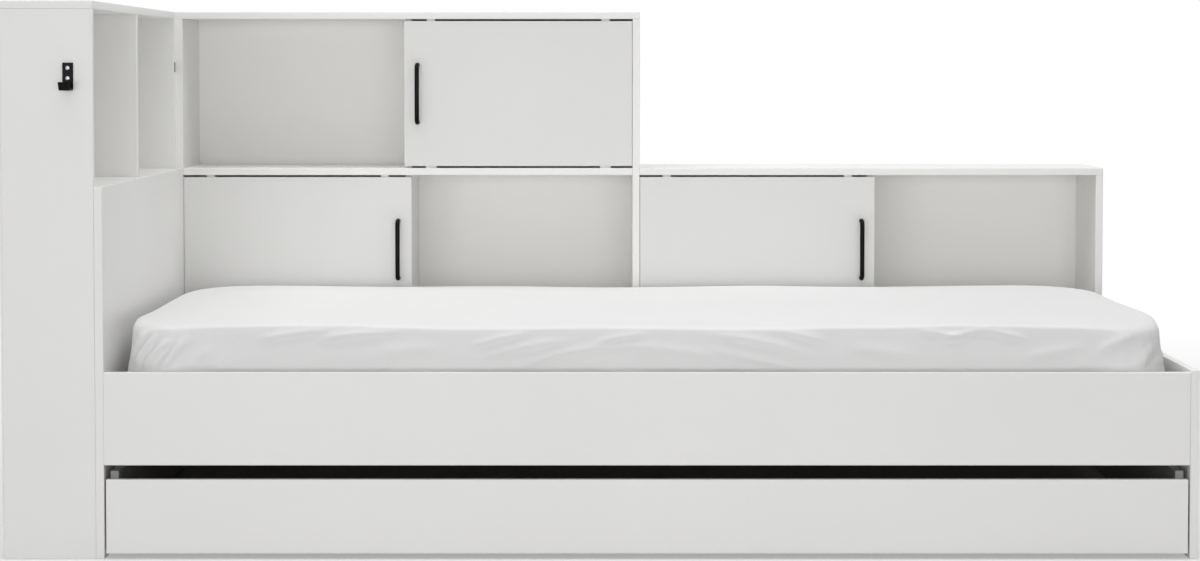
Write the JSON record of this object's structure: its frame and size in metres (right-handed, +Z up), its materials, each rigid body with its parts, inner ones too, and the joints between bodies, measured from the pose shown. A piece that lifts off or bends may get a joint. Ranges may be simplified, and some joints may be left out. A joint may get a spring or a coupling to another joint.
{
  "type": "storage bed",
  "caption": "White board bed with a rolling drawer beneath, a shelved head cabinet with a coat hook, and a stepped bookcase with sliding doors behind.",
  "frame": {"origin": "on the floor, under the middle of the object's box", "axes": "+X from the head cabinet to the foot, +Y from the front to the wall side, +Z up"},
  "size_m": [2.247, 1.231, 1.048],
  "materials": {
    "white_board": "white melamine-faced board",
    "thin_white_panel": "thin white fibreboard",
    "bare_wood": "planed softwood",
    "mattress_ticking": "quilted ticking",
    "sheet_cotton": "white stretch cotton",
    "black_metal": "satin black",
    "zinc_steel": "bright zinc",
    "white_plastic": "moulded white",
    "grey_plastic": "moulded dark grey"
  },
  "bodies": {
    "bed_frame": {"cabinet_front_panel": "white_board", "cabinet_rear_panel": "white_board", "cabinet_top": "white_board", "cabinet_shelf": "white_board", "cabinet_bottom": "white_board", "cabinet_divider": "white_board", "cabinet_back_panel": "thin_white_panel", "connector_plate": "black_metal", "coat_hook": "black_metal", "coat_hook_screws": "zinc_steel", "headboard_panel": "white_board", "foot_panel": "white_board", "front_rail": "white_board", "rear_rail": "white_board", "front_slat_ledge": "bare_wood", "rear_slat_ledge": "bare_wood", "slats": "bare_wood", "drawer_stops": "bare_wood", "mattress": "mattress_ticking", "fitted_sheet": "sheet_cotton", "bookcase_left_side": "white_board", "bookcase_middle_side": "white_board", "bookcase_right_side": "white_board", "tall_top": "white_board", "low_top": "white_board", "tall_shelf": "white_board", "tall_floor": "white_board", "low_floor": "white_board", "upper_partition": "white_board", "lower_partition": "white_board", "low_partition": "white_board", "tall_back_panel": "thin_white_panel", "low_back_panel": "thin_white_panel", "bookcase_stretchers": "white_board", "cam_connectors": "zinc_steel", "dowels": "bare_wood"},
    "drawer": {"drawer_front": "white_board", "drawer_left_side": "white_board", "drawer_right_side": "white_board", "drawer_back": "white_board", "drawer_bottom": "thin_white_panel", "drawer_centre_rail": "white_board", "castor_brackets": "zinc_steel", "castor_axles": "zinc_steel"},
    "upper_door": {"upper_door": "white_board", "upper_door_handle": "black_metal", "upper_door_handle_screws": "zinc_steel", "upper_door_glides": "white_plastic"},
    "lower_door": {"lower_door": "white_board", "lower_door_handle": "black_metal", "lower_door_handle_screws": "zinc_steel", "lower_door_glides": "white_plastic"},
    "low_door": {"low_door": "white_board", "low_door_handle": "black_metal", "low_door_handle_screws": "zinc_steel", "low_door_glides": "white_plastic"},
    "castor_wheel_front_left": {"castor_wheel_front_left": "grey_plastic"},
    "castor_wheel_front_right": {"castor_wheel_front_right": "grey_plastic"},
    "castor_wheel_rear_left": {"castor_wheel_rear_left": "grey_plastic"},
    "castor_wheel_rear_right": {"castor_wheel_rear_right": "grey_plastic"}
  },
  "joints": [
    {"name": "drawer_slide", "type": "slide", "parent": "bed_frame", "child": "drawer", "axis": [0, -1, 0], "range_m": [0, 0.85]},
    {"name": "upper_door_slide", "type": "slide", "parent": "bed_frame", "child": "upper_door", "axis": [-1, 0, 0], "range_m": [0, 0.493]},
    {"name": "lower_door_slide", "type": "slide", "parent": "bed_frame", "child": "lower_door", "axis": [1, 0, 0], "range_m": [0, 0.493]},
    {"name": "low_door_slide", "type": "slide", "parent": "bed_frame", "child": "low_door", "axis": [1, 0, 0], "range_m": [0, 0.493]},
    {"name": "castor_spin_front_left", "type": "hinge", "parent": "drawer", "child": "castor_wheel_front_left", "pos_m": [-0.8355, -0.4835, 0.02], "axis": [1, 0, 0], "continuous": true},
    {"name": "castor_spin_front_right", "type": "hinge", "parent": "drawer", "child": "castor_wheel_front_right", "pos_m": [1.0125, -0.4835, 0.02], "axis": [1, 0, 0], "continuous": true},
    {"name": "castor_spin_rear_left", "type": "hinge", "parent": "drawer", "child": "castor_wheel_rear_left", "pos_m": [-0.8355, 0.2045, 0.02], "axis": [1, 0, 0], "continuous": true},
    {"name": "castor_spin_rear_right", "type": "hinge", "parent": "drawer", "child": "castor_wheel_rear_right", "pos_m": [1.0125, 0.2045, 0.02], "axis": [1, 0, 0], "continuous": true}
  ],
  "couplings": [
    {"joint": "castor_spin_front_left", "follows": "drawer_slide", "rad_per_m": 50},
    {"joint": "castor_spin_front_right", "follows": "drawer_slide", "rad_per_m": 50},
    {"joint": "castor_spin_rear_left", "follows": "drawer_slide", "rad_per_m": 50},
    {"joint": "castor_spin_rear_right", "follows": "drawer_slide", "rad_per_m": 50}
  ]
}
